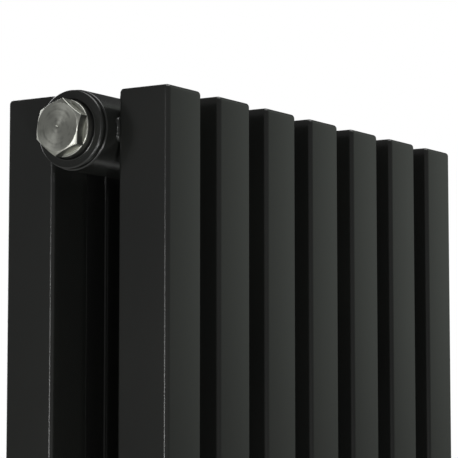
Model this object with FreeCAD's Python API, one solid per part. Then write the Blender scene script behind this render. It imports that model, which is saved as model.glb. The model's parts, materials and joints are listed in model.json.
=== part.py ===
import FreeCAD, Part
import math
import os

# A double vertical radiator: two rows of square steel tubes welded to a round
# header at the top and another at the bottom, hung on four wall brackets, with
# a blanking plug and an air vent above and an angled valve at each lower port.
# Millimetres. X runs along the headers, the room is towards -Y, +Z is up.
# The wall is the plane Y = 0, and the origin is the centre of the wall screws.

# --- driving dimensions -------------------------------------------------------
# tubes and rows
overall_height = 1600.0        # tube end to tube end, caps included
tubes_per_row = 7
tube_size = 25.0               # outside, square
tube_wall = 1.5
tube_corner_r = 2.0
tube_gap = 13.0                # between neighbours in a row
wall_gap = 35.0                # back of the rear row to the wall
cap_thickness = 4.0
cap_edge_r = 1.8
water_slot_length = 14.0       # slot from header to tube, along X
water_slot_height = 5.0

# headers and their threaded end bushes
header_d = 33.7
header_wall = 2.0
header_seat = 0.35             # depth of the notch that seats it in each tube
header_sink = 0.15             # top of the header below the tube tops
header_overhang = 8.0          # header tube past the end tube
header_edge_r = 0.8
bush_collar = 3.0              # part of the bush outside the header
bush_collar_step = 0.45        # collar smaller than the header, on the radius
bush_edge_r = 1.9
bush_spigot = 10.0             # part of the bush inside the header
port_thread_d = 20.955         # G 1/2
port_recess_land = 1.9         # width of the seat for the seal, round the thread
port_recess_depth = 1.0
baffle_thickness = 2.0
baffle_after_tube = 2          # closed off between this tube and the next

# plug and air vent
plug_flange_gap = 0.45         # flange to the wall of the recess
plug_flange = 4.5
plug_flange_edge_r = 0.5
plug_hex_af = 21.0
plug_hex = 5.0
plug_hex_chamfer = 0.9
plug_hex_turn = 9.3            # one corner leans this far from upright, degrees
plug_shank = 9.0
plug_dimple_d = 1.6
bleed_screw_d = 6.0
bleed_screw_length = 11.0
bleed_square = 5.0
bleed_square_length = 4.0
bleed_passage_d = 2.5

# wall brackets
bracket_spacing_x_pitches = 3  # tube pitches from left to right bracket
bracket_inset = 200.0          # bracket's centre from the tube ends
bracket_plate = 4.0
bracket_plate_width = 36.0
bracket_plate_height = 72.0
bracket_plate_corner_r = 6.0
bracket_screw_spacing = 48.0
bracket_screw_d = 7.0
bracket_arm_d = 16.0
saddle = 3.0                   # thickness of both clamp jaws
saddle_reach = 16.5            # how far a jaw reaches onto each tube
saddle_height = 34.0
saddle_corner_r = 4.0
clamp_screw_d = 8.0
clamp_screw_head_d = 13.0
clamp_screw_head = 8.0
clamp_screw_edge_r = 0.8
clamp_screw_socket_af = 6.0
clamp_screw_grip = 16.0        # length held in the arm's thread

# angled valves (heights are from the lower header's axis)
valve_reach = 39.5             # valve axis to the face of the bush recess
pipe_d = 15.0
body_d = 24.0
body_top = 13.0
body_shoulder = -14.0          # lower end of the body, above the pipe thread
pipe_thread_wall = 2.85        # pipe socket to the outside of the thread
pipe_thread = 13.0
pipe_socket = 15.0
water_way_d = 10.0
chamber_d = 17.2
seat_top = -4.0
bonnet_thread_d = 18.0
bonnet_thread = 7.0
union_thread_d = 24.0
union_end = 22.0               # valve axis to the union face of the body
union_neck_d = 20.0
union_thread = 9.0
union_nut_wall = 3.0           # thread to the flats
union_nut_lip = 3.5
tail_collar = 2.4
tail_neck_d = 17.0
tail_flange = 4.0
tail_flange_gap = 0.4
tail_thread = 11.0
tail_bore_d = 11.0
seal_thickness = 1.5
compression_nut_wall = 1.55    # thread to the flats
compression_nut_gap = 2.0      # thread left showing above the nut
compression_nut_floor = 2.2
olive_length = 4.0
olive_wall = 1.2
olive_taper = 0.5

# the valve's headwork and its heads
valve_lift_turns = 1.5
valve_lift_pitch = 1.5
plug_disc_d = 14.0
plug_disc = 2.5
washer_thickness = 1.5
washer_d = 13.4
plug_stem_d = 12.0
plug_stem = 8.0
spindle_thread_d = 7.8
spindle_collar_d = 12.0
spindle_collar = 1.5
spindle_d = 8.0
spindle_drive_d = 7.0
spindle_drive = 10.0
spindle_flat = 2.45            # drive's flat from the axis
bonnet_hex_af = 19.0
bonnet_hex = 6.0
bonnet_neck_d = 16.0
bonnet_neck = 6.0
wheel_d = 34.0
wheel_wall = 2.6
wheel_lift = 2.0               # lower rim of either head above the union nut
wheel_height = 35.0
wheel_flutes = 12
wheel_flute_d = 6.0
wheel_flute_depth = 1.1
wheel_rim = 3.0                # plain band below the flutes
wheel_edge_r = 2.5
wheel_boss_d = 13.0
wheel_recess_d = 11.0
wheel_recess_depth = 5.0
head_screw_d = 4.0
head_screw_head_d = 8.0
head_screw_head = 2.4
head_screw_slot = 1.2
shield_d = 29.0
shield_height = 27.0

# clearances, each on the radius
thread_clearance = 0.08
pipe_clearance = 0.05
running_clearance = 0.05
fit_clearance = 0.1
seal_clearance = 0.15

# --- places worked out from the dimensions -------------------------------------
tube_pitch = tube_size + tube_gap
row_gap = header_d - 2 * header_seat
header_drop = header_d / 2 + header_sink
row_width = tube_pitch * (tubes_per_row - 1) + tube_size
tube_x = [-row_width / 2 + tube_size / 2 + i * tube_pitch for i in range(tubes_per_row)]
back_row_y = -(wall_gap + tube_size / 2)
front_row_y = back_row_y - tube_size - row_gap
header_y = (back_row_y + front_row_y) / 2
tube_top = overall_height / 2
top_header_z = tube_top - header_drop
bottom_header_z = -top_header_z
header_end = row_width / 2 + header_overhang
bush_face = header_end + bush_collar
bush_collar_d = header_d - 2 * bush_collar_step
port_seat = bush_face - port_recess_depth
port_recess_d = port_thread_d + 2 * port_recess_land
plug_flange_d = port_recess_d - 2 * plug_flange_gap
tail_flange_d = port_recess_d - 2 * tail_flange_gap
valve_x = port_seat + valve_reach
bracket_x = bracket_spacing_x_pitches * tube_pitch / 2
bracket_z = tube_top - bracket_inset
saddle_width = tube_gap + 2 * saddle_reach
valve_lift = valve_lift_turns * valve_lift_pitch
pipe_thread_d = pipe_d + 2 * pipe_thread_wall
compression_nut_af = pipe_thread_d + 2 * compression_nut_wall
union_nut_af = union_thread_d + 2 * union_nut_wall
wheel_bottom = union_nut_af / 2 + wheel_lift
wheel_top = wheel_bottom + wheel_height
shield_top = wheel_bottom + shield_height

os.makedirs("parts", exist_ok=True)
vec = FreeCAD.Vector


def save(node, *solids):
    """Write one sub-part, made of one solid or of a group of like solids."""
    shape = solids[0] if len(solids) == 1 else Part.makeCompound(solids)
    shape.exportStep("parts/" + node + ".step")


def box(x0, x1, y0, y1, z0, z1):
    return Part.makeBox(x1 - x0, y1 - y0, z1 - z0, vec(x0, y0, z0))


def disc(diameter, z0, z1, x=0.0, y=0.0):
    return Part.makeCylinder(diameter / 2, z1 - z0, vec(x, y, z0))


def turned(outline):
    """A lathe part about Z from (diameter, z) points, closed on themselves."""
    points = [vec(d / 2, 0, z) for d, z in outline]
    face = Part.Face(Part.makePolygon(points + points[:1]))
    return face.revolve(vec(0, 0, 0), vec(0, 0, 1), 360)


def hexagon(across_flats, z0, z1, turn=0.0):
    """A hexagonal bar; at turn 0 one corner lies on +X."""
    radius = across_flats / math.sqrt(3)
    angles = [math.radians(turn + 60 * k) for k in range(7)]
    corners = [vec(radius * math.cos(a), radius * math.sin(a), z0) for a in angles]
    return Part.Face(Part.makePolygon(corners)).extrude(vec(0, 0, z1 - z0))


def chamfered_hexagon(across_flats, z0, z1, chamfer, turn=0.0, both_ends=False):
    """A hexagon whose corners are turned off at 30 degrees, as on a nut."""
    corner_d = across_flats * 2 / math.sqrt(3)
    crown_d = across_flats - 2 * chamfer * 0.4
    slope = (corner_d - crown_d) / 2 * math.tan(math.radians(30))
    outline = [(0, z0), (corner_d, z0), (corner_d, z1 - slope), (crown_d, z1), (0, z1)]
    if both_ends:
        outline[:2] = [(0, z0), (crown_d, z0), (corner_d, z0 + slope)]
    return hexagon(across_flats, z0, z1, turn).common(turned(outline))


def edges_at(shape, axis, value):
    """The edges that lie wholly in one plane across an axis."""
    return [e for e in shape.Edges
            if abs(getattr(e.BoundBox, axis + "Min") - value) < 1e-6
            and abs(getattr(e.BoundBox, axis + "Max") - value) < 1e-6]


def edges_along(shape, axis):
    """The straight edges that run along one axis."""
    direction = {"X": vec(1, 0, 0), "Y": vec(0, 1, 0), "Z": vec(0, 0, 1)}[axis]
    straight = [e for e in shape.Edges if isinstance(e.Curve, Part.Line)]
    return [e for e in straight if abs(abs(e.tangentAt(e.FirstParameter).dot(direction)) - 1) < 1e-6]


def bar(size, corner_r, z0, z1, x, y):
    """A square bar along Z with rounded corners."""
    half = size / 2
    solid = box(x - half, x + half, y - half, y + half, z0, z1)
    return solid.makeFillet(corner_r, edges_along(solid, "Z"))


def along_x(shape, end, header_z):
    """Lay a part made about Z on a header's axis, its +Z pointing out of that end."""
    placed = shape.copy()
    placed.rotate(vec(0, 0, 0), vec(0, 1, 0), 90 if end > 0 else -90)
    placed.translate(vec(0, header_y, header_z))
    return placed


def at(shape, x, y, z):
    placed = shape.copy()
    placed.translate(vec(x, y, z))
    return placed


# --- tubes and their end caps ----------------------------------------------------
def header_cylinder(diameter, header_z):
    start = vec(-header_end, header_y, header_z)
    return Part.makeCylinder(diameter / 2, 2 * header_end, start, vec(1, 0, 0))


def tube(x, y):
    """Square tube, notched to sit on both headers and slotted for the water."""
    reach = tube_top - cap_thickness
    solid = bar(tube_size, tube_corner_r, -reach, reach, x, y)
    inside_r = max(tube_corner_r - tube_wall, 0.1 * tube_wall)
    solid = solid.cut(bar(tube_size - 2 * tube_wall, inside_r, -reach, reach, x, y))
    inner_face = y + (tube_size / 2 if y < header_y else -tube_size / 2)
    for header_z in (top_header_z, bottom_header_z):
        solid = solid.cut(header_cylinder(header_d, header_z))
        slot = box(x - water_slot_length / 2, x + water_slot_length / 2,
                   inner_face - 1.2 * tube_wall, inner_face + 1.2 * tube_wall,
                   header_z - water_slot_height / 2, header_z + water_slot_height / 2)
        solid = solid.cut(slot)
    return solid


def cap(x, y, end):
    """Steel cap welded in the end of a tube and ground flush with its sides."""
    outer, inner = end * tube_top, end * (tube_top - cap_thickness)
    solid = bar(tube_size, tube_corner_r, min(outer, inner), max(outer, inner), x, y)
    return solid.makeFillet(cap_edge_r, edges_at(solid, "Z", outer))


for row, row_y in (("front", front_row_y), ("back", back_row_y)):
    for number, x in enumerate(tube_x, start=1):
        save(f"{row}_tube_{number}", tube(x, row_y))
    save(f"{row}_row_top_caps", *[cap(x, row_y, 1) for x in tube_x])
    save(f"{row}_row_bottom_caps", *[cap(x, row_y, -1) for x in tube_x])


# --- headers, bushes and baffle --------------------------------------------------
header_bore_d = header_d - 2 * header_wall
bush_bore_d = port_thread_d + 2 * thread_clearance


def header(header_z):
    solid = header_cylinder(header_d, header_z)
    rims = edges_at(solid, "X", header_end) + edges_at(solid, "X", -header_end)
    solid = solid.makeFillet(header_edge_r, rims).cut(header_cylinder(header_bore_d, header_z))
    for x in tube_x:
        solid = solid.cut(box(x - water_slot_length / 2, x + water_slot_length / 2,
                              header_y - header_d, header_y + header_d,
                              header_z - water_slot_height / 2, header_z + water_slot_height / 2))
    return solid


def bush():
    """Threaded ring welded in the header's end, with a recess that seats the seal."""
    spigot_d = header_bore_d - 2 * fit_clearance
    inner_end = header_end - bush_spigot
    outside = turned([(0, inner_end), (spigot_d, inner_end), (spigot_d, header_end),
                      (bush_collar_d, header_end), (bush_collar_d, bush_face), (0, bush_face)])
    outside = outside.makeFillet(bush_edge_r, edges_at(outside, "Z", bush_face))
    bore = disc(bush_bore_d, inner_end, bush_face)
    return outside.cut(bore).cut(disc(port_recess_d, port_seat, bush_face))


save("top_header", header(top_header_z))
save("bottom_header", header(bottom_header_z))
for level, header_z in (("top", top_header_z), ("bottom", bottom_header_z)):
    save(f"{level}_left_bush", along_x(bush(), -1, header_z))
    save(f"{level}_right_bush", along_x(bush(), 1, header_z))

baffle_x = (tube_x[baffle_after_tube - 1] + tube_x[baffle_after_tube]) / 2
baffle = disc(header_bore_d - 2 * fit_clearance, baffle_x, baffle_x + baffle_thickness)
save("flow_baffle", along_x(baffle, 1, bottom_header_z))


# --- blanking plug and air vent (made about Z, then laid in a port) ----------------
shank_d = port_thread_d - 2 * thread_clearance
seal_bottom = port_seat
flange_bottom = port_seat + seal_thickness
flange_top = flange_bottom + plug_flange - seal_thickness
hex_top = flange_top + plug_hex
plug_lean = -plug_hex_turn   # the corner that is upright once the plug is laid down leans to the room


def flat_seal():
    """Rubber ring between a flange and the floor of the port's recess."""
    outer_d = plug_flange_d - 2 * seal_clearance
    return turned([(shank_d + 2 * seal_clearance, seal_bottom), (outer_d, seal_bottom),
                   (outer_d, flange_bottom), (shank_d + 2 * seal_clearance, flange_bottom)])


def screwed_plug():
    """Hexagon, round flange and threaded shank in one piece of brass."""
    solid = turned([(0, port_seat - plug_shank), (shank_d - 1.5, port_seat - plug_shank),
                    (shank_d, port_seat - plug_shank + 0.75), (shank_d, flange_bottom),
                    (plug_flange_d, flange_bottom), (plug_flange_d, flange_top), (0, flange_top)])
    solid = solid.makeFillet(plug_flange_edge_r, edges_at(solid, "Z", flange_top))
    return solid.fuse(chamfered_hexagon(plug_hex_af, flange_top, hex_top, plug_hex_chamfer, plug_lean))


dimple = turned([(0, hex_top - plug_dimple_d / 2), (plug_dimple_d, hex_top), (0, hex_top)])
save("blanking_plug", along_x(screwed_plug().cut(dimple), -1, top_header_z))
save("blanking_plug_seal", along_x(flat_seal(), -1, top_header_z))

# the vent's screw seats on a cone at the inner end of its thread
bleed_seat = hex_top - bleed_screw_length
bleed_hole = disc(bleed_screw_d + 2 * running_clearance, bleed_seat, hex_top + 1)
bleed_passage = disc(bleed_passage_d, port_seat - plug_shank - 1, bleed_seat + 1)
bleed_outlet = Part.makeCylinder(bleed_passage_d / 2, plug_hex_af,
                                 vec(0, 0, flange_top + plug_hex / 2), vec(0, -1, 0))
vent_body = screwed_plug().cut(bleed_hole).cut(bleed_passage).cut(bleed_outlet)
save("vent_plug", along_x(vent_body, 1, top_header_z))
save("vent_plug_seal", along_x(flat_seal(), 1, top_header_z))

bleed_shank = disc(bleed_screw_d, bleed_seat + 0.1, hex_top - 1.0)
bleed_neck = disc(bleed_square * 0.9, hex_top - 1.0, hex_top + 0.8)
half_square = bleed_square / 2
bleed_drive = box(-half_square, half_square, -half_square, half_square,
                  hex_top + 0.8, hex_top + 0.8 + bleed_square_length)
bleed_drive = bleed_drive.makeFillet(0.5, edges_along(bleed_drive, "Z"))
bleed_screw = bleed_shank.fuse(bleed_neck).fuse(bleed_drive)
save("bleed_screw", along_x(bleed_screw, 1, top_header_z))


# --- wall brackets -----------------------------------------------------------------
saddle_back = -wall_gap
clamp_front = back_row_y - tube_size / 2


def rounded_plate(width, height, corner_r, y0, y1, x, z):
    solid = box(x - width / 2, x + width / 2, y0, y1, z - height / 2, z + height / 2)
    return solid.makeFillet(corner_r, edges_along(solid, "Y"))


def bore_y(diameter, y0, y1, x, z):
    return Part.makeCylinder(diameter / 2, y1 - y0, vec(x, y0, z), vec(0, 1, 0))


def wall_bracket(x, z):
    """Wall plate, arm and rear jaw welded together, with the arm tapped for the clamp screw."""
    solid = rounded_plate(bracket_plate_width, bracket_plate_height, bracket_plate_corner_r,
                          -bracket_plate, 0, x, z)
    solid = solid.fuse(bore_y(bracket_arm_d, saddle_back + saddle, -bracket_plate, x, z))
    solid = solid.fuse(rounded_plate(saddle_width, saddle_height, saddle_corner_r,
                                     saddle_back, saddle_back + saddle, x, z))
    for screw_z in (z - bracket_screw_spacing / 2, z + bracket_screw_spacing / 2):
        solid = solid.cut(bore_y(bracket_screw_d, -bracket_plate, 0, x, screw_z))
    tapped_d = clamp_screw_d + 2 * thread_clearance
    return solid.cut(bore_y(tapped_d, saddle_back, saddle_back + clamp_screw_grip + 2, x, z))


def front_jaw(x, z):
    """Plate that pulls two neighbouring tubes of the rear row back onto the bracket."""
    jaw_front = clamp_front - saddle
    solid = rounded_plate(saddle_width, saddle_height, saddle_corner_r, jaw_front, clamp_front, x, z)
    return solid.cut(bore_y(clamp_screw_d + 2 * fit_clearance, jaw_front, clamp_front, x, z))


def clamp_screw(x, z):
    """Socket head cap screw through the gap between two tubes."""
    head_back = clamp_front - saddle
    head_front = head_back - clamp_screw_head
    solid = bore_y(clamp_screw_head_d, head_front, head_back, x, z)
    solid = solid.makeFillet(clamp_screw_edge_r, edges_at(solid, "Y", head_front))
    solid = solid.fuse(bore_y(clamp_screw_d, head_back, saddle_back + clamp_screw_grip, x, z))
    socket = hexagon(clamp_screw_socket_af, 0, clamp_screw_head / 2)
    socket.rotate(vec(0, 0, 0), vec(1, 0, 0), -90)
    return solid.cut(at(socket, x, head_front, z))


bracket_places = {"top_left": (-bracket_x, bracket_z), "top_right": (bracket_x, bracket_z),
                  "bottom_left": (-bracket_x, -bracket_z), "bottom_right": (bracket_x, -bracket_z)}
for name, (x, z) in bracket_places.items():
    save(f"wall_bracket_{name}", wall_bracket(x, z))
save("clamp_jaws", *[front_jaw(x, z) for x, z in bracket_places.values()])
save("clamp_screws", *[clamp_screw(x, z) for x, z in bracket_places.values()])


# --- angled valves (made about their own axis, union towards +X) --------------------
union_nut_start = union_end - union_thread - 1
tail_collar_end = union_end + tail_collar
union_nut_bore_end = tail_collar_end + fit_clearance
union_nut_end = union_nut_bore_end + union_nut_lip
tail_flange_end = valve_reach - seal_thickness
pipe_thread_end = body_shoulder - pipe_thread
socket_d = pipe_d + 2 * pipe_clearance
olive_top = pipe_thread_end - fit_clearance
olive_bottom = olive_top - olive_length
bonnet_seat = body_top
bonnet_thread_end = body_top - bonnet_thread
plug_top = seat_top + washer_thickness + plug_disc + plug_stem
collar_bottom = plug_top + valve_lift + 0.5
collar_top = collar_bottom + spindle_collar
bonnet_top = bonnet_seat + bonnet_hex + bonnet_neck
spindle_shaft_top = bonnet_top + 1.5
spindle_top = spindle_shaft_top + spindle_drive
groove_bottom = bonnet_seat + bonnet_hex - 1
groove_height = 2.4
groove_d = spindle_d + 3.2


def lying(shape):
    """Turn a part made about Z so that its +Z points along +X."""
    placed = shape.copy()
    placed.rotate(vec(0, 0, 0), vec(0, 1, 0), 90)
    return placed


def valve_body():
    solid = disc(body_d, body_shoulder, body_top)
    solid = solid.makeFillet(1.2, edges_at(solid, "Z", body_shoulder) + edges_at(solid, "Z", body_top))
    solid = solid.fuse(disc(pipe_thread_d, pipe_thread_end, body_shoulder + 1))
    side = disc(union_neck_d, 0, union_end - union_thread).fuse(
        disc(union_thread_d - 2 * thread_clearance, union_end - union_thread, union_end))
    solid = solid.fuse(lying(side))
    solid = solid.cut(disc(chamber_d, seat_top, body_top + 1))
    solid = solid.cut(disc(bonnet_thread_d, bonnet_thread_end, body_top + 1))
    solid = solid.cut(disc(water_way_d, pipe_thread_end, seat_top + 1))
    solid = solid.cut(disc(socket_d, pipe_thread_end, pipe_thread_end + pipe_socket))
    solid = solid.cut(lying(disc(water_way_d * 0.8, 0, union_end + 1)))
    return solid


def valve_tail():
    """Tailpiece from the union to the radiator's port, with a bore for the water."""
    thread_d = port_thread_d - 2 * thread_clearance
    collar_d = union_thread_d - 1.2
    outline = [(tail_bore_d, union_end), (collar_d, union_end), (collar_d, tail_collar_end),
               (tail_neck_d, tail_collar_end), (tail_neck_d, tail_flange_end - tail_flange),
               (tail_flange_d, tail_flange_end - tail_flange), (tail_flange_d, tail_flange_end),
               (thread_d, tail_flange_end), (thread_d, valve_reach + tail_thread),
               (tail_bore_d, valve_reach + tail_thread)]
    return lying(turned(outline))


def tail_seal():
    inner_d = port_thread_d + 2 * seal_clearance
    outer_d = tail_flange_d - 2 * seal_clearance
    return lying(turned([(inner_d, tail_flange_end), (outer_d, tail_flange_end),
                         (outer_d, valve_reach), (inner_d, valve_reach)]))


def union_nut_piece():
    solid = chamfered_hexagon(union_nut_af, union_nut_start, union_nut_end, 1.0, 30, both_ends=True)
    solid = solid.cut(disc(union_thread_d, union_nut_start, union_nut_bore_end))
    return lying(solid.cut(disc(tail_neck_d + 2 * fit_clearance, union_nut_start, union_nut_end)))


def compression_nut_piece():
    top = body_shoulder - compression_nut_gap
    floor = olive_bottom - fit_clearance
    bottom = floor - compression_nut_floor
    solid = chamfered_hexagon(compression_nut_af, bottom, top, 1.0, 0, both_ends=True)
    solid = solid.cut(disc(pipe_thread_d + 2 * thread_clearance, pipe_thread_end - fit_clearance, top))
    solid = solid.cut(disc(socket_d + 2 * (olive_wall + fit_clearance), floor, top))
    return solid.cut(disc(socket_d + 2 * fit_clearance, bottom, top))


def olive():
    """Brass ring that the nut squeezes onto the pipe, tapered at both ends."""
    outer_d = socket_d + 2 * olive_wall
    tip_d = outer_d - 2 * olive_taper
    return turned([(socket_d, olive_bottom), (tip_d, olive_bottom), (outer_d, olive_bottom + olive_taper),
                   (outer_d, olive_top - olive_taper), (tip_d, olive_top), (socket_d, olive_top)])


def bonnet():
    """Headwork screwed in the body, which holds the spindle down by its collar."""
    solid = disc(bonnet_thread_d - 2 * thread_clearance, bonnet_thread_end, bonnet_seat)
    solid = solid.fuse(chamfered_hexagon(bonnet_hex_af, bonnet_seat, bonnet_seat + bonnet_hex, 0.8, 30))
    solid = solid.fuse(disc(bonnet_neck_d, bonnet_seat + bonnet_hex, bonnet_top))
    chamber_top = collar_top + fit_clearance
    solid = solid.cut(disc(spindle_collar_d + 0.5, bonnet_thread_end, chamber_top))
    solid = solid.cut(disc(spindle_d + 2 * running_clearance, bonnet_thread_end, bonnet_top))
    return solid.cut(disc(groove_d, groove_bottom, groove_bottom + groove_height))


def spindle_o_ring():
    section = (groove_d - spindle_d) / 4 - running_clearance
    return Part.makeTorus((groove_d + spindle_d) / 4, section, vec(0, 0, groove_bottom + groove_height / 2))


def spindle():
    """Spindle that turns without rising; its lower thread lifts the valve plug."""
    bottom = seat_top + washer_thickness + plug_disc + valve_lift + 0.8
    outline = [(0, bottom), (spindle_thread_d, bottom), (spindle_thread_d, collar_bottom),
               (spindle_collar_d, collar_bottom), (spindle_collar_d, collar_top), (spindle_d, collar_top),
               (spindle_d, spindle_shaft_top), (spindle_drive_d, spindle_shaft_top),
               (spindle_drive_d, spindle_top), (0, spindle_top)]
    drive_cut = box(spindle_flat, spindle_drive_d, -spindle_drive_d, spindle_drive_d,
                    spindle_shaft_top, spindle_top)
    tapped = disc(head_screw_d + 2 * thread_clearance, spindle_shaft_top + 1, spindle_top)
    return turned(outline).cut(drive_cut).cut(tapped)


def valve_plug():
    """Plug that opens the seat as it is drawn up the spindle's thread."""
    bottom = seat_top + washer_thickness
    stem_bottom = bottom + plug_disc
    solid = disc(plug_disc_d, bottom, stem_bottom).fuse(disc(plug_stem_d, stem_bottom, plug_top))
    return solid.cut(disc(spindle_thread_d + 2 * running_clearance, stem_bottom + 0.3, plug_top))


def valve_washer():
    return disc(washer_d, seat_top, seat_top + washer_thickness)


def head_shell(outer_d, top, edge_r, boss_bottom):
    """Moulded head: a cup over the bonnet with a boss that grips the drive below its roof."""
    solid = disc(outer_d, wheel_bottom, top)
    solid = solid.makeFillet(edge_r, edges_at(solid, "Z", top))
    roof = top - wheel_recess_depth - wheel_wall
    solid = solid.cut(disc(outer_d - 2 * wheel_wall, wheel_bottom, roof))
    return solid.fuse(disc(wheel_boss_d, boss_bottom, roof + 0.5))


def hand_wheel():
    """Fluted wheel on the spindle's drive, held by a screw in its top."""
    solid = head_shell(wheel_d, wheel_top, wheel_edge_r, spindle_shaft_top + 0.5)
    flute_centre = wheel_d / 2 + wheel_flute_d / 2 - wheel_flute_depth
    for k in range(wheel_flutes):
        angle = 2 * math.pi * (k + 0.5) / wheel_flutes
        solid = solid.cut(disc(wheel_flute_d, wheel_bottom + wheel_rim, wheel_top,
                               flute_centre * math.cos(angle), flute_centre * math.sin(angle)))
    solid = solid.cut(disc(wheel_recess_d, wheel_top - wheel_recess_depth, wheel_top))
    solid = solid.cut(disc(head_screw_d + 2 * fit_clearance, spindle_top - 1, wheel_top))
    socket = disc(spindle_drive_d + 2 * fit_clearance, spindle_shaft_top, spindle_top + fit_clearance)
    socket = socket.cut(box(spindle_flat + fit_clearance, spindle_drive_d,
                            -spindle_drive_d, spindle_drive_d, 0, wheel_top))
    return solid.cut(socket)


def wheel_screw():
    floor = wheel_top - wheel_recess_depth
    solid = disc(head_screw_head_d, floor, floor + head_screw_head)
    solid = solid.makeFillet(0.9, edges_at(solid, "Z", floor + head_screw_head))
    solid = solid.fuse(disc(head_screw_d, spindle_shaft_top + 2, floor))
    slot = box(-head_screw_slot / 2, head_screw_slot / 2, -head_screw_head_d, head_screw_head_d,
               floor + head_screw_head / 2, wheel_top)
    return solid.cut(slot)


def lockshield_cap():
    """Smooth cover pressed on the bonnet's neck; it hides the spindle's drive."""
    solid = disc(shield_d, wheel_bottom, shield_top)
    solid = solid.makeFillet(wheel_edge_r, edges_at(solid, "Z", shield_top))
    solid = solid.cut(disc(shield_d - 2 * wheel_wall, wheel_bottom, shield_top - wheel_wall))
    grip_bottom = bonnet_seat + bonnet_hex + 0.5
    grip = disc(shield_d - 2, grip_bottom, bonnet_top)
    return solid.fuse(grip.cut(disc(bonnet_neck_d + 0.04, grip_bottom, bonnet_top)))


def place_valve(shape, side):
    """Set a valve piece on its port; the right-hand valve is turned half round."""
    placed = shape.copy()
    if side > 0:
        placed.rotate(vec(0, 0, 0), vec(0, 0, 1), 180)
    placed.translate(vec(side * valve_x, header_y, bottom_header_z))
    return placed


for side, name in ((-1, "wheel_valve"), (1, "lockshield_valve")):
    pieces = {"body": valve_body(), "tail": valve_tail(), "bonnet": bonnet(), "o_ring": spindle_o_ring(),
              "spindle": spindle(), "plug": valve_plug(), "washer": valve_washer()}
    for piece, shape in pieces.items():
        save(f"{name}_{piece}", place_valve(shape, side))
save("hand_wheel", place_valve(hand_wheel(), -1))
save("hand_wheel_screw", place_valve(wheel_screw(), -1))
save("lockshield_cap", place_valve(lockshield_cap(), 1))
both_sides = (("tail_seals", tail_seal()), ("union_nuts", union_nut_piece()),
              ("compression_nuts", compression_nut_piece()), ("olives", olive()))
for node, shape in both_sides:
    save(node, *[place_valve(shape, side) for side in (-1, 1)])
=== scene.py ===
import json
import math
import random

import bmesh
import bpy
from mathutils import Matrix, Vector


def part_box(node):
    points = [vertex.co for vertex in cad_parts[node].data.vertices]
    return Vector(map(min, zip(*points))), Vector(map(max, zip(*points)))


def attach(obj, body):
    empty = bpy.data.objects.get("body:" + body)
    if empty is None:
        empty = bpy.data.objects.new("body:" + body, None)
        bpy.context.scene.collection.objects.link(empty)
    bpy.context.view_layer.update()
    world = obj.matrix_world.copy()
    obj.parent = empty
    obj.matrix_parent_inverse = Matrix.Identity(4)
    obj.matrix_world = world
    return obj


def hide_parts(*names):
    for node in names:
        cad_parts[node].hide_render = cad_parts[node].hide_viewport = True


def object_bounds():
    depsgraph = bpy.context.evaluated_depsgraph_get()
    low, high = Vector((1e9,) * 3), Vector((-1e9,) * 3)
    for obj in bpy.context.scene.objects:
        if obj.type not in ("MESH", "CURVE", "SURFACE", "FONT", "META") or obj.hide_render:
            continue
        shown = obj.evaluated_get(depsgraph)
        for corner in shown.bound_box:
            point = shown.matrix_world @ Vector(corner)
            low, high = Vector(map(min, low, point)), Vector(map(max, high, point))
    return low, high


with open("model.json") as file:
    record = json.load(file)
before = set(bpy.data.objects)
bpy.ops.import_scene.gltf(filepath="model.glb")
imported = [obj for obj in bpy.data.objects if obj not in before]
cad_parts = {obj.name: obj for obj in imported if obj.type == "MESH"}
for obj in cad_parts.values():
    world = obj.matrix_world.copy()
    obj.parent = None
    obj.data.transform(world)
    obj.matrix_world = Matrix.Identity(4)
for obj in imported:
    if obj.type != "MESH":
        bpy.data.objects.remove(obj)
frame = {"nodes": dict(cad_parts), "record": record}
cad_low, cad_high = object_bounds()


# ---- camera ----------------------------------------------------------------------
# A long lens at the height of the tube tops, close to the left end of the radiator,
# aimed along the front row and a little upwards.
tube_low, tube_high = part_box("front_tube_1")
back_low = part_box("back_tube_1")[0]
cap_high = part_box("front_row_top_caps")[1]
row_middle_y = (tube_high.y + back_low.y) / 2

LENS = 161.87
VIEW_YAW = math.radians(57.30)
VIEW_PITCH = math.radians(5.562)
CAMERA_FROM_CORNER = Vector((-0.68125, -0.50814, -0.13988))

camera_data = bpy.data.cameras.new("camera")
camera_data.lens = LENS
camera_data.sensor_width = 36
camera_data.clip_start = 0.05
camera_data.clip_end = 200
camera = bpy.data.objects.new("camera", camera_data)
bpy.context.scene.collection.objects.link(camera)
camera.location = Vector((tube_low.x, row_middle_y, cap_high.z)) + CAMERA_FROM_CORNER
view_direction = Vector((math.sin(VIEW_YAW) * math.cos(VIEW_PITCH),
                         math.cos(VIEW_YAW) * math.cos(VIEW_PITCH), math.sin(VIEW_PITCH)))
camera.rotation_euler = view_direction.to_track_quat("-Z", "Y").to_euler()
bpy.context.scene.camera = camera


# ---- tubes and end caps --------------------------------------------------------------
# Square steel tube, rolled and seam welded, with a pressed cap welded in each end and
# ground flush. The whole carcass is powder coated satin black after welding.
def linear(hex_colour):
    """sRGB hex to the linear colour that shaders use."""
    channels = [int(hex_colour[i:i + 2], 16) / 255 for i in (0, 2, 4)]
    return [c / 12.92 if c <= 0.04045 else ((c + 0.055) / 1.055) ** 2.4 for c in channels] + [1.0]


def node(material, kind, links=(), **settings):
    """Add a shader node: settings by input name or property, links as (from, output, input)."""
    added = material.node_tree.nodes.new(kind)
    for name, value in settings.items():
        if hasattr(added, name):
            setattr(added, name, value)
        else:
            added.inputs[name.replace("_", " ")].default_value = value
    for source, output, target in links:
        material.node_tree.links.new(source.outputs[output], added.inputs[target])
    return added


def new_material(name):
    """A material with an empty node tree."""
    material = bpy.data.materials.new(name)
    material.use_nodes = True
    material.node_tree.nodes.clear()
    return material


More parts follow.
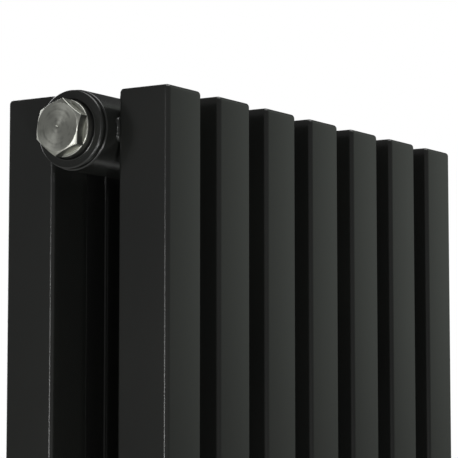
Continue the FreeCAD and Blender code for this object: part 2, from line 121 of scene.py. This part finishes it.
def finish_material(material, shader):
    """Join the shader to the material's output."""
    output = material.node_tree.nodes.new("ShaderNodeOutputMaterial")
    material.node_tree.links.new(shader.outputs[0], output.inputs["Surface"])
    return material


def satin_powder_coat():
    """Polyester powder coat, baked: fine orange peel about 1.5 mm across, and an even satin
    sheen that wanders over about 110 mm. It shows as soft, slightly grainy gloss."""
    m = new_material("satin_black_powder_coat")
    place = node(m, "ShaderNodeTexCoord")
    peel = node(m, "ShaderNodeTexNoise", [(place, "Object", "Vector")], Scale=650.0, Detail=2.0)
    drift = node(m, "ShaderNodeTexNoise", [(place, "Object", "Vector")], Scale=9.0, Detail=3.0)
    gloss = node(m, "ShaderNodeMapRange", [(drift, "Fac", "Value")],
                 From_Min=0.3, From_Max=0.7, To_Min=0.20, To_Max=0.27)
    tint = node(m, "ShaderNodeValToRGB", [(drift, "Fac", "Fac")])
    tint.color_ramp.elements[0].position = 0.3
    tint.color_ramp.elements[0].color = linear("181918")
    tint.color_ramp.elements[1].position = 0.7
    tint.color_ramp.elements[1].color = linear("1d1e1c")
    bump = node(m, "ShaderNodeBump", [(peel, "Fac", "Height")], Strength=0.05, Distance=0.0002)
    shader = node(m, "ShaderNodeBsdfPrincipled",
                  [(tint, "Color", "Base Color"), (gloss, "Result", "Roughness"), (bump, "Normal", "Normal")])
    shader.inputs["IOR"].default_value = 1.5
    return finish_material(m, shader)


powder_coat = satin_powder_coat()


def piece(name, vertices, faces, material, body, replaced, slot, crease=35.0):
    """A finished mesh piece that stands for CAD nodes and rides on their body."""
    mesh = bpy.data.meshes.new(name)
    mesh.from_pydata([tuple(v) for v in vertices], [], faces)
    mesh.validate()
    mesh.update()
    mesh.polygons.foreach_set("use_smooth", [True] * len(mesh.polygons))
    mesh.set_sharp_from_angle(angle=math.radians(crease))
    mesh.materials.append(material)
    obj = bpy.data.objects.new(name, mesh)
    bpy.context.scene.collection.objects.link(obj)
    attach(obj, body)
    if replaced:
        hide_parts(*replaced)
    return obj


def merge(parts):
    """Several (vertices, faces) in one."""
    vertices, faces = [], []
    for part_vertices, part_faces in parts:
        start = len(vertices)
        vertices.extend(part_vertices)
        faces.extend([tuple(start + i for i in f) for f in part_faces])
    return vertices, faces


def stack(rings, closed_ends=True, loop=False):
    """Skin between equal rings of points, one after the other."""
    count = len(rings[0])
    vertices = [p for ring in rings for p in ring]
    faces = []
    levels = len(rings) if loop else len(rings) - 1
    for level in range(levels):
        a, b = level * count, (level + 1) % len(rings) * count
        faces.extend([(a + i, a + (i + 1) % count, b + (i + 1) % count, b + i) for i in range(count)])
    if closed_ends and not loop:
        faces.append(tuple(reversed(range(count))))
        faces.append(tuple(len(vertices) - count + i for i in range(count)))
    return vertices, faces


TUBE_CORNER = 0.0020
TUBE_WALL = 0.0015
CAP_EDGE = 0.0018
CORNER_STEPS = 8
tube_half = (tube_high.x - tube_low.x) / 2


def square_ring(x, y, z, inset=0.0, corner=TUBE_CORNER):
    """A square with rounded corners, in from the tube's outside by inset."""
    radius = max(corner - inset, 0.00005)
    reach = tube_half - inset - radius
    ring = []
    for side_x, side_y, start in ((1, 1, 0), (-1, 1, 90), (-1, -1, 180), (1, -1, 270)):
        for k in range(CORNER_STEPS + 1):
            a = math.radians(start + 90 * k / CORNER_STEPS)
            ring.append((x + side_x * reach + radius * math.cos(a),
                         y + side_y * reach + radius * math.sin(a), z))
    return ring


def tube_mesh(x, y, z0, z1):
    """Open square pipe from z0 to z1; its caps close it."""
    outer = [square_ring(x, y, z) for z in (z0, z1)]
    inner = [square_ring(x, y, z, TUBE_WALL) for z in (z1, z0)]
    return stack(outer + inner, loop=True)


def cap_mesh(x, y, joint_z, end_z):
    """Cap with its outer edge rounded in a quarter circle."""
    way = 1 if end_z > joint_z else -1
    rings = [square_ring(x, y, joint_z), square_ring(x, y, end_z - way * CAP_EDGE)]
    for k in range(1, 9):
        a = math.radians(90 * k / 8)
        inset = CAP_EDGE * (1 - math.cos(a))
        rings.append(square_ring(x, y, end_z - way * CAP_EDGE * (1 - math.sin(a)), inset))
    return stack(rings if way > 0 else rings[::-1])


for row in ("front", "back"):
    centres = []
    for number in range(1, 8):
        low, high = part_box(f"{row}_tube_{number}")
        x, y = (low.x + high.x) / 2, (low.y + high.y) / 2
        centres.append(x)
        piece(f"{row}_tube_{number}_coated", *tube_mesh(x, y, low.z, high.z), powder_coat,
              "radiator", [f"{row}_tube_{number}"], "satin_black_enamel")
    for end in ("top", "bottom"):
        cap_node = f"{row}_row_{end}_caps"
        low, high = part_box(cap_node)
        joint_z, end_z = (low.z, high.z) if end == "top" else (high.z, low.z)
        caps = merge([cap_mesh(x, y, joint_z, end_z) for x in centres])
        piece(f"{row}_row_{end}_caps_ground", *caps, powder_coat, "radiator", [cap_node],
              "satin_black_enamel")


# ---- headers, end bushes and their welds -----------------------------------------------
# Round steel pipe between the rows, welded to every tube. A turned ring with a G 1/2
# thread is welded in each end; its outer edge is rounded and a shallow groove is left
# where the weld joins it to the pipe. Coated together with the tubes.
HEADER_EDGE = 0.0008
BUSH_EDGE = 0.0009
BUSH_CROWN = 0.00015
PAINT_LIP = 0.00014
HEADER_WALL = 0.0020
RECESS_R = 0.01238
RECESS_DEPTH = 0.0010
THREAD_R = 0.01048
LATHE_SEGMENTS = 128


def softened(outline, radius, steps=5):
    """Round the corners of a closed (r, z) outline; points on the axis stay sharp."""
    result = []
    count = len(outline)
    for i, entry in enumerate(outline):
        point = Vector(entry[:2])
        r = entry[2] if len(entry) > 2 else radius
        before = Vector(outline[i - 1][:2]) - point
        after = Vector(outline[(i + 1) % count][:2]) - point
        if r <= 0 or point.x < 1e-9 or before.length < 1e-9 or after.length < 1e-9:
            result.append(tuple(point))
            continue
        half_turn = before.angle(after) / 2
        reach = min(r / math.tan(half_turn), before.length * 0.49, after.length * 0.49)
        true_r = reach * math.tan(half_turn)
        start, end = point + before.normalized() * reach, point + after.normalized() * reach
        centre = point + (before.normalized() + after.normalized()).normalized() * (
            true_r / math.sin(half_turn))
        for k in range(steps + 1):
            spoke = (start - centre).lerp(end - centre, k / steps).normalized() * true_r
            result.append(tuple(centre + spoke))
    return result


def lathe(outline, segments=96, limit=None):
    """Turn a closed (r, z) outline about Z; limit(angle) may cut it back to a polygon."""
    rings = []
    for r, z in outline:
        ring = []
        for k in range(segments):
            a = 2 * math.pi * k / segments
            radius = min(r, limit(a)) if limit else r
            ring.append((radius * math.cos(a), radius * math.sin(a), z))
        rings.append(ring)
    vertices = [p for ring in rings for p in ring]
    faces = []
    for level in range(len(rings)):
        nxt = (level + 1) % len(rings)
        if outline[level][0] < 1e-9 and outline[nxt][0] < 1e-9:
            continue
        a, b = level * segments, nxt * segments
        for i in range(segments):
            j = (i + 1) % segments
            quad = [a + i, a + j, b + j, b + i]
            if outline[level][0] < 1e-9:
                quad = [a, b + j, b + i]
            elif outline[nxt][0] < 1e-9:
                quad = [a + i, a + j, b]
            faces.append(tuple(quad))
    return vertices, faces


def moved(mesh, matrix):
    """The same mesh in another place."""
    return [matrix @ Vector(v) for v in mesh[0]], mesh[1]


def along_header(mesh, end, header_z):
    """Lay a mesh made about Z on the header's axis, its +Z out of the left or right end."""
    turn = Matrix.Rotation(math.radians(90 * end), 4, "Y")
    return moved(mesh, Matrix.Translation((0, row_middle_y, header_z)) @ turn)


def header_mesh(low, high):
    """Round pipe as long as the CAD header, made about Z."""
    radius, reach = (high.z - low.z) / 2, high.x
    outline = [(radius - HEADER_WALL, -reach, 0.0002), (radius - HEADER_WALL, reach, 0.0002),
               (radius, reach, HEADER_EDGE), (radius, -reach, HEADER_EDGE)]
    return lathe(softened(outline, HEADER_EDGE, 8), LATHE_SEGMENTS)


def bush_mesh(inner, collar_start, face, collar_r, spigot_r):
    """The threaded ring; its bore is drawn as a plain cylinder at the thread's radius, behind a shallow
    recess.
    """
    outline = [(spigot_r, inner, 0.0003), (spigot_r, collar_start - 0.0006, 0),
               (collar_r - 0.0011, collar_start + 0.00015, 0.0003), (collar_r, collar_start + 0.0011, 0.0004),
               (collar_r, face - BUSH_CROWN, BUSH_EDGE), (RECESS_R + 0.0013, face, 0.004),
               (RECESS_R + 0.0007, face, 0.0001), (RECESS_R + 0.0004, face + PAINT_LIP, 0.0002),
               (RECESS_R, face - 0.0001, 0.0002),
               (RECESS_R, face - RECESS_DEPTH, 0.0001), (THREAD_R + 0.0003, face - RECESS_DEPTH, 0),
               (THREAD_R, face - RECESS_DEPTH - 0.0003, 0), (THREAD_R, inner, 0.0003)]
    return lathe(softened(outline, 0.0002, 8), LATHE_SEGMENTS)


top_low, top_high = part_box("top_header")
bottom_low, bottom_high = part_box("bottom_header")
header_r = (top_high.z - top_low.z) / 2
for level, low, high in (("top", top_low, top_high), ("bottom", bottom_low, bottom_high)):
    header_z = (low.z + high.z) / 2
    centred = along_header(header_mesh(low, high), 1, header_z)
    piece(f"{level}_header_pipe", *centred, powder_coat, "radiator", [f"{level}_header"],
          "satin_black_enamel")
    for side, end in (("left", -1), ("right", 1)):
        bush_low, bush_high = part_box(f"{level}_{side}_bush")
        bush_outer = max(abs(bush_low.x), abs(bush_high.x))
        bush_inner = min(abs(bush_low.x), abs(bush_high.x))
        ring = bush_mesh(bush_inner, high.x, bush_outer, (bush_high.z - bush_low.z) / 2,
                         header_r - HEADER_WALL - 0.0001)
        piece(f"{level}_{side}_threaded_ring", *along_header(ring, end, header_z), powder_coat, "radiator",
              [f"{level}_{side}_bush"], "satin_black_enamel")


# Weld beads: a bead runs round the patch where each tube seats on the header. Made by
# MIG welding before coating, so the ripples are softened by the paint.
BEAD_R = 0.00115
BEAD_STEPS = 10
BEAD_POINTS = 72
BEAD_RISE = 0.0046
BEAD_OUTSET = 0.0004
random.seed(12)


def bead_mesh(x, way, header_z):
    """One closed bead round a tube's seat; way is -1 for the front row and +1 for the back."""
    reach = tube_half + BEAD_OUTSET
    path = []
    around = BEAD_POINTS
    for k in range(around):
        a = 2 * math.pi * k / around
        across = max(-1.0, min(1.0, 1.25 * math.cos(a)))
        up = max(-1.0, min(1.0, 1.25 * math.sin(a)))
        height = BEAD_RISE * up
        depth = math.sqrt(header_r ** 2 - height ** 2) + 0.00015
        path.append(Vector((x + reach * across, row_middle_y + way * depth, header_z + height)))
    rings = []
    for k, point in enumerate(path):
        forward = (path[(k + 1) % around] - path[k - 1]).normalized()
        outward = Vector((0, way, 0))
        side = forward.cross(outward).normalized()
        outward = side.cross(forward).normalized()
        radius = BEAD_R * (1 + 0.10 * math.sin(k * 2.6) + random.uniform(-0.06, 0.06))
        rings.append([point + radius * (math.cos(b) * side + math.sin(b) * outward)
                      for b in (2 * math.pi * i / BEAD_STEPS for i in range(BEAD_STEPS))])
    return stack(rings, loop=True)


for level, low, high in (("top", top_low, top_high), ("bottom", bottom_low, bottom_high)):
    header_z = (low.z + high.z) / 2
    beads = merge([bead_mesh(x, way, header_z) for way in (-1, 1) for x in centres])
    piece(f"{level}_header_welds", *beads, powder_coat, "radiator", [], "satin_black_enamel", crease=80)


# ---- blanking plug ------------------------------------------------------------------------
# Plugs turned from hexagon bar and nickel plated, sealed by a flat rubber ring. The face
# keeps the fine rings of the facing cut and a dimple at its centre.
PLUG_AF = 0.0210
PLUG_FLANGE_R = 0.01193
PLUG_FLANGE_TOP = 0.0045
PLUG_HEX_TOP = 0.0095
PLUG_CROWN_INSET = 0.00036
PLUG_DIMPLE_R = 0.0007
PLUG_LEAN = math.radians(9.3)
HEX_SEGMENTS = 144


def hexagon_limit(across_flats, lean=0.0):
    """Distance from the axis to the side of a hexagon, by angle; one corner at lean."""
    def radius(angle):
        within = (angle - lean + math.pi / 6) % (math.pi / 3) - math.pi / 6
        return across_flats / 2 / math.cos(math.pi / 6 - abs(within))
    return radius


def hex_head(across_flats, z0, z1, crown_r, lean, dimple_r, edge=0.00012):
    """Hexagon with its corners turned off in a cone, slightly rounded edges and a centre dimple."""
    limit = hexagon_limit(across_flats, lean)
    slope = math.tan(math.radians(30))
    columns = []
    for k in range(HEX_SEGMENTS):
        a = lean + 2 * math.pi * k / HEX_SEGMENTS
        side = limit(a) - edge * 0.5
        drop = max(side - crown_r, 0.0) * slope
        top = [(dimple_r * 0.5, z1 - dimple_r * 0.5), (dimple_r, z1 - 0.00004), (dimple_r + 0.0001, z1),
               (crown_r - edge - 0.0002, z1), (crown_r - edge, z1), (crown_r, z1 - edge * 0.3),
               (max(side - edge, crown_r), z1 - max(drop - edge * slope, edge * 0.3)),
               (side, z1 - drop - edge)]
        columns.append([(r * math.cos(a), r * math.sin(a), z) for r, z in top + [(side, z0)]])
    levels = len(columns[0])
    rings = [[column[level] for column in columns] for level in range(levels)]
    vertices, faces = stack(rings, closed_ends=False)
    vertices = list(vertices) + [(0, 0, z1 - dimple_r), (0, 0, z0)]
    pit, base = len(vertices) - 2, len(vertices) - 1
    last = (levels - 1) * HEX_SEGMENTS
    for i in range(HEX_SEGMENTS):
        j = (i + 1) % HEX_SEGMENTS
        faces.append((pit, j, i))
        faces.append((base, last + i, last + j))
    return vertices, faces


def turned_nickel():
    """Bright nickel over a facing cut. The tool marks run in rings 0.25 mm apart, so
    reflections stretch across them in a faint bow tie. Bands about 1 mm wide are duller where
    the tool chattered, and stains are about 3 mm across. Real marks are nearer 0.1 mm apart
    and are drawn coarser so that they show."""
    m = new_material("turned_nickel_plate")
    place = node(m, "ShaderNodeTexCoord")
    centre = node(m, "ShaderNodeVectorMath", [(place, "Object", 0)], operation="SUBTRACT")
    centre.inputs[1].default_value = (0, row_middle_y, (top_low.z + top_high.z) / 2)
    flat = node(m, "ShaderNodeVectorMath", [(centre, "Vector", 0)], operation="MULTIPLY")
    flat.inputs[1].default_value = (0, 1, 1)
    radius = node(m, "ShaderNodeVectorMath", [(flat, "Vector", 0)], operation="LENGTH")
    along = node(m, "ShaderNodeCombineXYZ", [(radius, "Value", "X")])
    fine = node(m, "ShaderNodeTexNoise", [(along, "Vector", "Vector")], Scale=4000.0, Detail=2.0)
    bands = node(m, "ShaderNodeTexNoise", [(along, "Vector", "Vector")], Scale=900.0, Detail=3.0)
    stain = node(m, "ShaderNodeTexNoise", [(place, "Object", "Vector")], Scale=350.0, Detail=5.0)
    mixed = node(m, "ShaderNodeMath", [(bands, "Fac", 0), (stain, "Fac", 1)], operation="ADD")
    colour = node(m, "ShaderNodeValToRGB", [(mixed, "Value", "Fac")])
    colour.color_ramp.elements[0].position = 0.7
    colour.color_ramp.elements[0].color = linear("9b9c95")
    colour.color_ramp.elements[1].position = 1.0
    colour.color_ramp.elements[1].color = linear("b4b5ad")
    gloss = node(m, "ShaderNodeMapRange", [(mixed, "Value", "Value")],
                 From_Min=0.7, From_Max=1.3, To_Min=0.30, To_Max=0.42)
    bump = node(m, "ShaderNodeBump", [(fine, "Fac", "Height")], Strength=0.6, Distance=0.00003)
    around = node(m, "ShaderNodeTangent", direction_type="RADIAL", axis="X")
    shader = node(m, "ShaderNodeBsdfPrincipled",
                  [(colour, "Color", "Base Color"), (gloss, "Result", "Roughness"),
                   (bump, "Normal", "Normal"), (around, "Tangent", "Tangent")],
                  Metallic=1.0, Anisotropic=0.6)
    return finish_material(m, shader)


nickel = turned_nickel()


def plug_mesh(seat, lean):
    """Flange, hexagon and threaded shank; seat is the floor of the port's recess."""
    flange_z, top_z = seat + PLUG_FLANGE_TOP, seat + PLUG_HEX_TOP
    flange = [(0, seat - 0.009), (THREAD_R - 0.0009, seat - 0.009), (THREAD_R - 0.0001, seat - 0.0082, 0),
              (THREAD_R - 0.0001, seat + 0.0015, 0), (PLUG_FLANGE_R, seat + 0.0015, 0.0003),
              (PLUG_FLANGE_R, flange_z, 0.0005), (0, flange_z)]
    crown_r = PLUG_AF / 2 - PLUG_CROWN_INSET
    return merge([lathe(softened(flange, 0.0002, 6), LATHE_SEGMENTS),
                  hex_head(PLUG_AF, flange_z - 0.0002, top_z, crown_r, lean, PLUG_DIMPLE_R)])


top_header_z = (top_low.z + top_high.z) / 2
bush_low, bush_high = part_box("top_right_bush")
port_seat = bush_high.x - RECESS_DEPTH
blank = plug_mesh(port_seat, -PLUG_LEAN)
piece("blanking_plug_turned", *along_header(blank, -1, top_header_z), nickel, "radiator",
      ["blanking_plug"], "turned_nickel", crease=20.0)


# ---- wall brackets -------------------------------------------------------------------------
# Steel plate with two screw holes, a welded arm and a fixed rear jaw, coated matt black.
# A loose front jaw between two tubes is drawn back by a zinc plated socket screw.
def finished_copy(cad_node, material, body, width, steps=2, crease=32.0):
    """A copy of a CAD node with its sharp edges rounded, shown in the node's place."""
    mesh = bpy.data.meshes.new(f"{cad_node}_finished")
    shape = bmesh.new()
    shape.from_mesh(frame["nodes"][cad_node].data)
    bmesh.ops.remove_doubles(shape, verts=shape.verts, dist=0.000002)
    bmesh.ops.dissolve_limit(shape, angle_limit=math.radians(0.8), verts=shape.verts, edges=shape.edges)
    shape.to_mesh(mesh)
    shape.free()
    obj = bpy.data.objects.new(f"{cad_node}_finished", mesh)
    bpy.context.scene.collection.objects.link(obj)
    bevel = obj.modifiers.new("edges", "BEVEL")
    bevel.width, bevel.segments, bevel.limit_method = width, steps, "ANGLE"
    bevel.angle_limit = math.radians(crease)
    bevel.use_clamp_overlap = True
    bpy.context.view_layer.update()
    evaluated = obj.evaluated_get(bpy.context.evaluated_depsgraph_get())
    rounded = bpy.data.meshes.new_from_object(evaluated)
    obj.modifiers.clear()
    obj.data = rounded
    rounded.name = f"{cad_node}_finished"
    rounded.materials.clear()
    rounded.materials.append(material)
    rounded.polygons.foreach_set("use_smooth", [True] * len(rounded.polygons))
    rounded.set_sharp_from_angle(angle=math.radians(crease))
    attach(obj, body)
    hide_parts(cad_node)
    return obj


def matt_bracket_coat():
    """Matt textured powder coat, sprayed thick, with a fine sandy grain about 0.6 mm across."""
    m = new_material("matt_black_bracket_coat")
    place = node(m, "ShaderNodeTexCoord")
    grain = node(m, "ShaderNodeTexNoise", [(place, "Object", "Vector")], Scale=1600.0, Detail=3.0)
    tone = node(m, "ShaderNodeValToRGB", [(grain, "Fac", "Fac")])
    tone.color_ramp.elements[0].position, tone.color_ramp.elements[1].position = 0.35, 0.65
    tone.color_ramp.elements[0].color = linear("171817")
    tone.color_ramp.elements[1].color = linear("1e1f1e")
    gloss = node(m, "ShaderNodeMapRange", [(grain, "Fac", "Value")], To_Min=0.42, To_Max=0.56)
    bump = node(m, "ShaderNodeBump", [(grain, "Fac", "Height")], Strength=0.35, Distance=0.0001)
    shader = node(m, "ShaderNodeBsdfPrincipled",
                  [(tone, "Color", "Base Color"), (gloss, "Result", "Roughness"), (bump, "Normal", "Normal")])
    return finish_material(m, shader)


def zinc_plate():
    """Bright zinc, its blue and yellow passivation drifting over about 8 mm, grain 0.45 mm."""
    m = new_material("passivated_zinc_plate")
    place = node(m, "ShaderNodeTexCoord")
    drift = node(m, "ShaderNodeTexNoise", [(place, "Object", "Vector")], Scale=120.0, Detail=3.0)
    fine = node(m, "ShaderNodeTexNoise", [(place, "Object", "Vector")], Scale=2200.0, Detail=2.0)
    tone = node(m, "ShaderNodeValToRGB", [(drift, "Fac", "Fac")])
    tone.color_ramp.elements[0].position, tone.color_ramp.elements[1].position = 0.35, 0.65
    tone.color_ramp.elements[0].color = linear("a9b0b8")
    tone.color_ramp.elements[1].color = linear("bab6a4")
    gloss = node(m, "ShaderNodeMapRange", [(fine, "Fac", "Value")], To_Min=0.26, To_Max=0.38)
    shader = node(m, "ShaderNodeBsdfPrincipled",
                  [(tone, "Color", "Base Color"), (gloss, "Result", "Roughness")], Metallic=1.0)
    return finish_material(m, shader)


bracket_coat = matt_bracket_coat()
zinc = zinc_plate()
for place_name in ("top_left", "top_right", "bottom_left", "bottom_right"):
    finished_copy(f"wall_bracket_{place_name}", bracket_coat, "radiator", 0.0006, 3)
finished_copy("clamp_jaws", bracket_coat, "radiator", 0.0005, 3)
finished_copy("clamp_screws", zinc, "radiator", 0.00025, 2)


# ---- air vent ---------------------------------------------------------------------------------
# Plug with the vent's passage, and a small brass screw with a square for a vent key that
# closes it. Both are turned and nickel plated like the blanking plug.
finished_copy("vent_plug", nickel, "radiator", 0.00025, 2)
finished_copy("bleed_screw", nickel, "bleed_screw", 0.00015, 2)


# ---- valve castings and nuts --------------------------------------------------------------------
# Hot pressed brass bodies, tails and headworks with machined nuts, polished and chrome plated.
def polished_chrome():
    """Chrome over polished brass: mirror bright, with faint buffing haze about 8 mm across."""
    m = new_material("polished_chrome_plate")
    place = node(m, "ShaderNodeTexCoord")
    haze = node(m, "ShaderNodeTexNoise", [(place, "Object", "Vector")], Scale=130.0, Detail=4.0)
    tone = node(m, "ShaderNodeValToRGB", [(haze, "Fac", "Fac")])
    tone.color_ramp.elements[0].position, tone.color_ramp.elements[1].position = 0.35, 0.65
    tone.color_ramp.elements[0].color = linear("d2d5d8")
    tone.color_ramp.elements[1].color = linear("dddfe0")
    gloss = node(m, "ShaderNodeMapRange", [(haze, "Fac", "Value")], From_Min=0.3, From_Max=0.7,
                 To_Min=0.06, To_Max=0.14)
    shader = node(m, "ShaderNodeBsdfPrincipled",
                  [(tone, "Color", "Base Color"), (gloss, "Result", "Roughness")], Metallic=1.0)
    return finish_material(m, shader)


chrome = polished_chrome()
for valve in ("wheel_valve", "lockshield_valve"):
    finished_copy(f"{valve}_body", chrome, "radiator", 0.0007, 3)
    finished_copy(f"{valve}_tail", chrome, "radiator", 0.0004, 3)
    finished_copy(f"{valve}_bonnet", chrome, "radiator", 0.0003, 2)
finished_copy("union_nuts", chrome, "radiator", 0.0004, 3)
finished_copy("compression_nuts", chrome, "radiator", 0.0004, 3)


# ---- hand wheel and lockshield cap ---------------------------------------------------------------
# Injection moulded ABS with a spark eroded texture. The wheel grips the spindle's flats and is
# held by a slotted screw; the cap is pressed over the lockshield's headwork.
def moulded_plastic():
    """Black ABS from a spark eroded mould: pits about 0.3 mm across, a little shiny on top."""
    m = new_material("textured_black_abs")
    place = node(m, "ShaderNodeTexCoord")
    pits = node(m, "ShaderNodeTexNoise", [(place, "Object", "Vector")], Scale=3300.0, Detail=2.0)
    tone = node(m, "ShaderNodeValToRGB", [(pits, "Fac", "Fac")])
    tone.color_ramp.elements[0].position, tone.color_ramp.elements[1].position = 0.35, 0.65
    tone.color_ramp.elements[0].color = linear("161616")
    tone.color_ramp.elements[1].color = linear("1f1f1f")
    gloss = node(m, "ShaderNodeMapRange", [(pits, "Fac", "Value")], To_Min=0.36, To_Max=0.48)
    bump = node(m, "ShaderNodeBump", [(pits, "Fac", "Height")], Strength=0.4, Distance=0.00005)
    shader = node(m, "ShaderNodeBsdfPrincipled",
                  [(tone, "Color", "Base Color"), (gloss, "Result", "Roughness"), (bump, "Normal", "Normal")])
    return finish_material(m, shader)


abs_plastic = moulded_plastic()
finished_copy("hand_wheel", abs_plastic, "hand_wheel", 0.0004, 3, crease=28.0)
finished_copy("hand_wheel_screw", zinc, "hand_wheel", 0.0002, 2)
finished_copy("lockshield_cap", abs_plastic, "radiator", 0.0004, 3, crease=28.0)


# ---- seals and inner pieces ------------------------------------------------------------------------
# Seen only in gaps or with a cover off: turned brass spindles, plugs and olives, moulded rubber
# rings and washers, and the bare steel of the baffle. They keep their CAD shape.
def turned_brass():
    """Bare machined brass. Turned marks are about 0.1 mm apart on the real piece and are drawn
    about 1 mm apart so that they show."""
    m = new_material("turned_brass")
    place = node(m, "ShaderNodeTexCoord")
    marks = node(m, "ShaderNodeTexWave", [(place, "Object", "Vector")], bands_direction="Z", Scale=330.0,
                 Distortion=1.5)
    tone = node(m, "ShaderNodeValToRGB", [(marks, "Fac", "Fac")])
    tone.color_ramp.elements[0].color = linear("c39a50")
    tone.color_ramp.elements[1].color = linear("d3ad64")
    gloss = node(m, "ShaderNodeMapRange", [(marks, "Fac", "Value")], To_Min=0.22, To_Max=0.32)
    shader = node(m, "ShaderNodeBsdfPrincipled",
                  [(tone, "Color", "Base Color"), (gloss, "Result", "Roughness")], Metallic=1.0)
    return finish_material(m, shader)


def moulded_rubber():
    """Nitrile rubber with a dull bloom in patches about 4 mm across."""
    m = new_material("moulded_black_rubber")
    place = node(m, "ShaderNodeTexCoord")
    bloom = node(m, "ShaderNodeTexNoise", [(place, "Object", "Vector")], Scale=250.0, Detail=4.0)
    tone = node(m, "ShaderNodeValToRGB", [(bloom, "Fac", "Fac")])
    tone.color_ramp.elements[0].color = linear("121212")
    tone.color_ramp.elements[1].color = linear("1d1d1c")
    gloss = node(m, "ShaderNodeMapRange", [(bloom, "Fac", "Value")], To_Min=0.6, To_Max=0.75)
    shader = node(m, "ShaderNodeBsdfPrincipled",
                  [(tone, "Color", "Base Color"), (gloss, "Result", "Roughness")])
    return finish_material(m, shader)


finishes = {"brass": turned_brass(), "black_rubber": moulded_rubber(), "satin_black_enamel": powder_coat,
            "bracket_black": bracket_coat, "zinc_plated_steel": zinc, "polished_chrome": chrome,
            "turned_nickel": nickel, "black_plastic": abs_plastic}
for entry in frame["record"]["subparts"]:
    mesh = frame["nodes"][entry["node"]].data
    mesh.materials.clear()
    mesh.materials.append(finishes[entry["material_slot"]])


# ---- studio ---------------------------------------------------------------------------------
# Pale floor and a white surround for the eye; a dimmer surround for reflections. A tall strip
# of light stands off the left end, a small lamp is low in front, and soft boxes hang above
# and behind.
def area_light(name, location, target, size_x, size_y, power):
    """A rectangular lamp aimed at target, itself unseen by the camera."""
    data = bpy.data.lights.new(name, "AREA")
    data.shape = "RECTANGLE"
    data.size, data.size_y, data.energy = size_x, size_y, power
    light = bpy.data.objects.new(name, data)
    bpy.context.scene.collection.objects.link(light)
    light.location = location
    light.visible_camera = False
    light.rotation_euler = (Vector(target) - Vector(location)).to_track_quat("-Z", "Y").to_euler()
    return light


area_light("left_strip", (-2.60, -0.034, 0.22), (-0.13, -0.08, 0.62), 0.17, 1.45, 20)
area_light("low_front_lamp", (-0.56, -0.74, 0.26), (-0.14, -0.08, 0.78), 0.13, 0.13, 3.4)
area_light("overhead", (0.5, -0.5, 3.6), (0, 0, 0.0), 2.6, 2.6, 60)
area_light("wall_side_softbox", (0.9, 2.3, 1.3), (0, 0, 0.1), 2.0, 2.0, 40)

world = bpy.data.worlds.new("studio")
bpy.context.scene.world = world
world.use_nodes = True
tree = world.node_tree
tree.nodes.clear()
seen = node(world, "ShaderNodeBackground")
seen.inputs["Color"].default_value = (1, 1, 1, 1)
way = node(world, "ShaderNodeTexCoord")
parts = node(world, "ShaderNodeSeparateXYZ", [(way, "Generated", "Vector")])
azimuth = node(world, "ShaderNodeMath", [(parts, "Y", 0), (parts, "X", 1)], operation="ARCTAN2")
turn = node(world, "ShaderNodeMapRange", [(azimuth, "Value", "Value")], From_Min=-math.pi, From_Max=math.pi)
walls = node(world, "ShaderNodeValToRGB", [(turn, "Result", "Fac")])
# Reflected surround, turning from +X: degrees, brightness and share of a faint green.
WALLS = ((-180, 0.24, 0), (-90, 0.24, 0), (-55, 0.28, 0.5), (-36, 0.38, 1), (-26, 0.50, 1), (-16, 0.40, 1),
         (2, 0.10, 0), (33, 0.06, 0), (90, 0.10, 0), (125, 0.20, 0), (150, 0.24, 0))
for i, (angle, level, green) in enumerate(WALLS):
    stop = walls.color_ramp.elements[i] if i < 1 else walls.color_ramp.elements.new((angle + 180) / 360)
    stop.position = (angle + 180) / 360
    stop.color = (level * (1 - 0.03 * green), level * (1 + 0.05 * green), level * (1 - 0.04 * green), 1)
walls.color_ramp.elements[-1].color = (0.24, 0.24, 0.24, 1)
height = node(world, "ShaderNodeMapRange", [(parts, "Z", "Value")], From_Min=-0.12, From_Max=0.07,
              To_Min=0.2, To_Max=0.98)
lit = node(world, "ShaderNodeBackground", [(walls, "Color", "Color"), (height, "Result", "Strength")])
eye = node(world, "ShaderNodeLightPath")
either = node(world, "ShaderNodeMixShader", [(eye, "Is Camera Ray", 0), (lit, 0, 1), (seen, 0, 2)])
node(world, "ShaderNodeOutputWorld", [(either, 0, "Surface")])

FLOOR_DROP = 0.12
floor_z = cad_low[2] - FLOOR_DROP
floor_mesh = bpy.data.meshes.new("floor")
floor_mesh.from_pydata([(-30, -30, floor_z), (30, -30, floor_z), (30, 30, floor_z), (-30, 30, floor_z)],
                       [], [(0, 1, 2, 3)])
floor = bpy.data.objects.new("floor", floor_mesh)
bpy.context.scene.collection.objects.link(floor)
pale = new_material("pale_floor")
pale_shader = node(pale, "ShaderNodeBsdfPrincipled", Roughness=0.6)
pale_shader.inputs["Base Color"].default_value = linear("f4f4f2")
floor_mesh.materials.append(finish_material(pale, pale_shader))

bpy.context.scene.view_settings.view_transform = "Standard"
